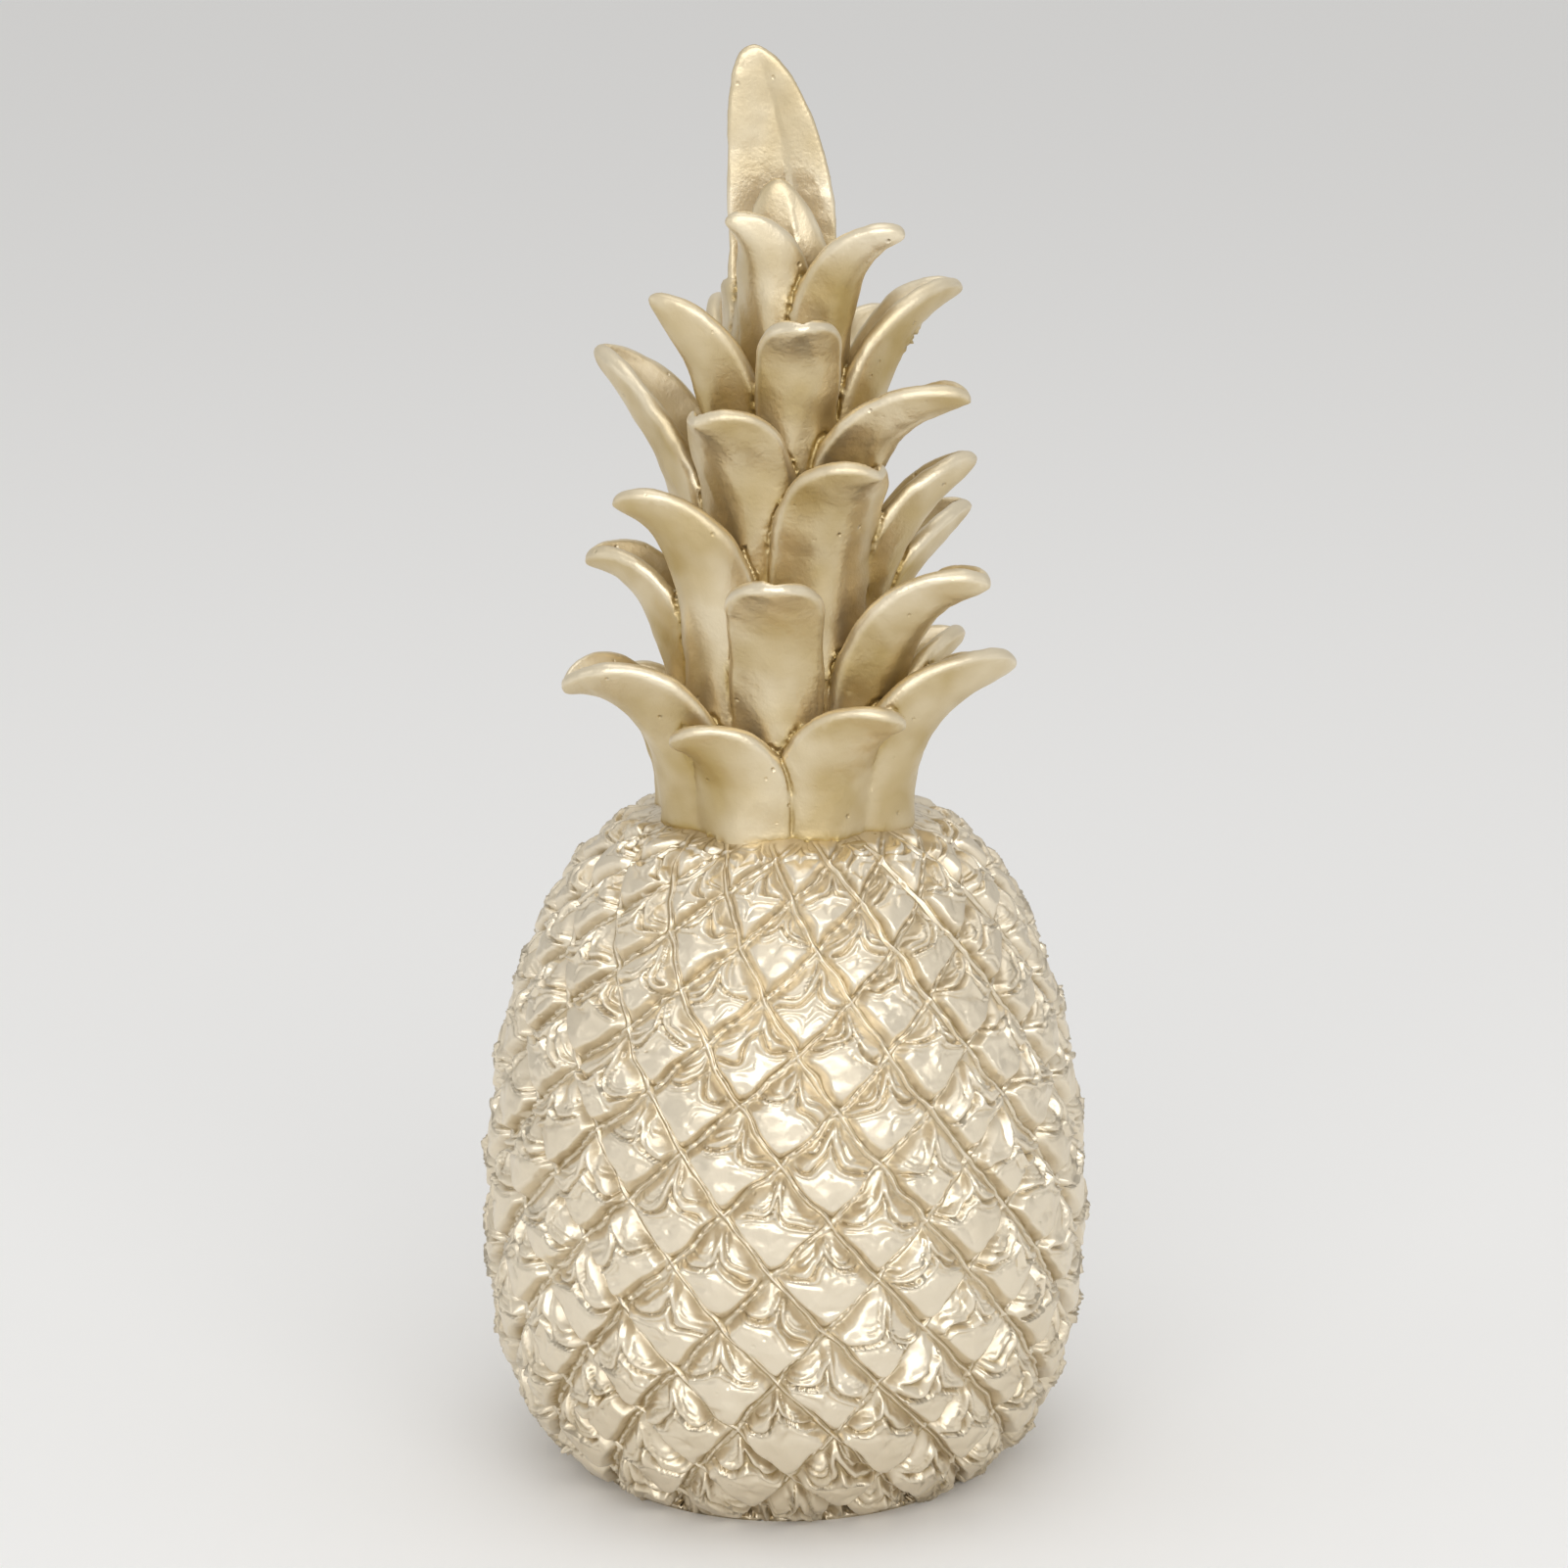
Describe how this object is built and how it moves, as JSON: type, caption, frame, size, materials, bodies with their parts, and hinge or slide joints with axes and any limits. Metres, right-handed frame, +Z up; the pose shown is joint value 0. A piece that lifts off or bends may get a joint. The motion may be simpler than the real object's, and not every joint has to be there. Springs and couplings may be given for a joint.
{
  "type": "decorative pineapple",
  "caption": "Cast pineapple ornament: a fruit of raised diamond eyes under a tall crown of short curling leaves, standing on a flat underside.",
  "frame": {"origin": "centre of the flat underside, where the ornament stands", "axes": "+Z up through the fruit and crown, -Y towards the side seen in the picture"},
  "size_m": [0.1075, 0.1076, 0.2499],
  "materials": {
    "gold_paint": "champagne gold metallic spray paint with a satin sheen on cast resin"
  },
  "bodies": {
    "root": {"pineapple": "gold_paint"}
  },
  "joints": []
}
